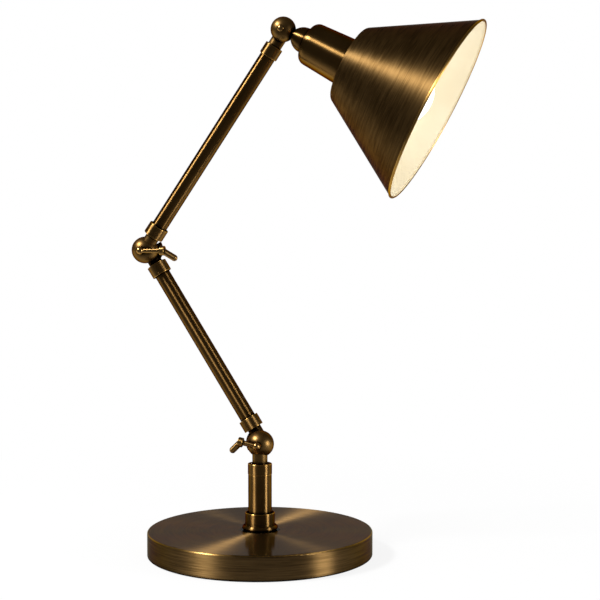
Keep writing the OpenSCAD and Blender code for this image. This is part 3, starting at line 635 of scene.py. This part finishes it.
shade_back, shade_end, shade_wall = 65.0, 153.0, 0.8
shade_hole_r, back_r, mouth_r, shoulder = 16.6, 33.5, 84.5, 6
shade_floor = shade_back + shade_wall
slope = (mouth_r - back_r) / (shade_end - shade_back)
inner_r = back_r + shade_wall * slope - shade_wall / math.cos(math.atan(slope))
roll_r, roll_start, roll_sweep, roll_steps = 1.1, -98.9, 317.7, 24
roll_mid_r, roll_mid = mouth_r - roll_r, shade_end - roll_r
rim = [
    (roll_mid_r + roll_r * math.cos(a), roll_mid + roll_r * math.sin(a), None)
    for a in [
        math.radians(roll_start + roll_sweep * step / roll_steps) for step in range(roll_steps + 1)
    ]
]
enamel_from = 21
# Its rolled rim takes the gold of worn edges: rubbed wear and painted highlight.
shade_brass = brushed_brass(
    "shade_brushed_brass", grain=1.0, rough=0.45, deep=(0.098, 0.053, 0.016),
    pale=(0.225, 0.130, 0.045), gold=worn_highlight_gold, metal=0.95, graze=(0.20, 0.15, 0.10),
)
turned(
    "shade_cone",
    [(shade_hole_r, shade_back, 0), (back_r, shade_back, shoulder)] + rim
    + [(inner_r, shade_floor, shoulder - shade_wall), (shade_hole_r, shade_floor, 0)],
    head_axis, "head", "shade",
    [shade_brass, cream_enamel("shade_cream_enamel")], 256, lined_from=enamel_from,
)


# Bulb: a round glass bulb, blown and frosted white inside, on a brass cap that screws into the
# lampholder. It is lit.
def lit_glass(name):
    finish = Finish(name)
    height = finish.split(finish.place())[2]
    return finish.surface(
        Base_Color=(0.95, 0.95, 0.92),
        Roughness=0.3,
        Emission_Color=finish.blend(
            finish.limit(height, 0.2, 0.6), (1.0, 0.95, 0.85), (1.0, 0.98, 0.94)
        ),
        Emission_Strength=1.14,
    )


dress(lit_glass("lit_white_glass"), "bulb_glass")

# Studio: a pale floor that runs out to a white surround, brightest behind the lamp, and a softbox
# on each side of the camera, a large high one on the left and a small low one on the right.
backdrop_x, backdrop_y = -0.218, 0.976
lamp_middle = Vector((0.03, 0, 0.25))
floor_half = 6.0
floor_corners = (-1, -1), (1, -1), (1, 1), (-1, 1)


def rays(finish):
    """1 for a look from the camera, in a gloss and through glass, each on its own."""
    looks = finish.node("ShaderNodeLightPath").socket.node.outputs
    return [Wire(finish, looks[f"Is {kind} Ray"]) for kind in ("Camera", "Glossy", "Transmission")]


floor_mesh = bpy.data.meshes.new("floor")
floor_mesh.from_pydata(
    [(x * floor_half, y * floor_half, 0) for x, y in floor_corners], [], [(0, 1, 2, 3)]
)
floor = bpy.data.objects.new("floor", floor_mesh)
bpy.context.scene.collection.objects.link(floor)
pale_floor = Finish("pale_floor")
direct, gloss, glass = rays(pale_floor)
watched = pale_floor.limit(direct + gloss + glass, 0.0, 1.0)
floor_x, floor_y = pale_floor.split(pale_floor.place())[:2]
far = pale_floor.limit((floor_x * floor_x + floor_y * floor_y) ** 0.5, 0.15, 0.6)
behind = pale_floor.limit(floor_y * backdrop_y + floor_x * backdrop_x, -0.25, 0.25)
matt = pale_floor.node("ShaderNodeBsdfDiffuse", None, {"Color": (0.85, 0.85, 0.85)})
shine = pale_floor.blend(1.0 - gloss * (1.0 - behind), (0.06, 0.06, 0.06), (1, 1, 1))
white = pale_floor.node("ShaderNodeEmission", None, {"Color": shine, "Strength": 1.0})
both = pale_floor.node(
    "ShaderNodeMixShader", None, {0: watched * (0.86 + 0.14 * far), 1: matt, 2: white}
)
pale_floor.feed(pale_floor.output, {0: both})
floor_mesh.materials.append(pale_floor.data)

surround = Finish("studio_white", world=True)
direct, gloss, glass = rays(surround)
way_x, way_y = surround.split(surround.node("ShaderNodeTexCoord"))[:2]
behind = surround.limit(way_y * backdrop_y + way_x * backdrop_x, 0.5, 0.9)
mirrored, scattered = 0.05 + 0.95 * behind, 0.45
shown = surround.limit(direct + glass, 0.0, 1.0)
level = shown + (1.0 - shown) * (gloss * mirrored + (1.0 - gloss) * scattered)
sky = surround.blend(level, (0, 0, 0), (1, 1, 1))
surround.feed(surround.tree.nodes["Background"], {"Color": sky, "Strength": 1.0})
bpy.context.scene.world = surround.data


def softbox(name, spot, width, height, watts):
    light = bpy.data.lights.new(name, "AREA")
    light.shape = "RECTANGLE"
    light.size, light.size_y, light.energy = width, height, watts
    holder = bpy.data.objects.new(name, light)
    holder.location = spot
    holder.rotation_euler = (lamp_middle - Vector(spot)).to_track_quat("-Z", "Y").to_euler()
    holder.visible_camera = False
    bpy.context.scene.collection.objects.link(holder)


softbox("left_softbox", (-1.849, -1.181, 2.30), width=0.8, height=0.42, watts=95)
softbox("right_softbox", (1.27, -0.28, 0.25), width=0.36, height=0.44, watts=7.2)
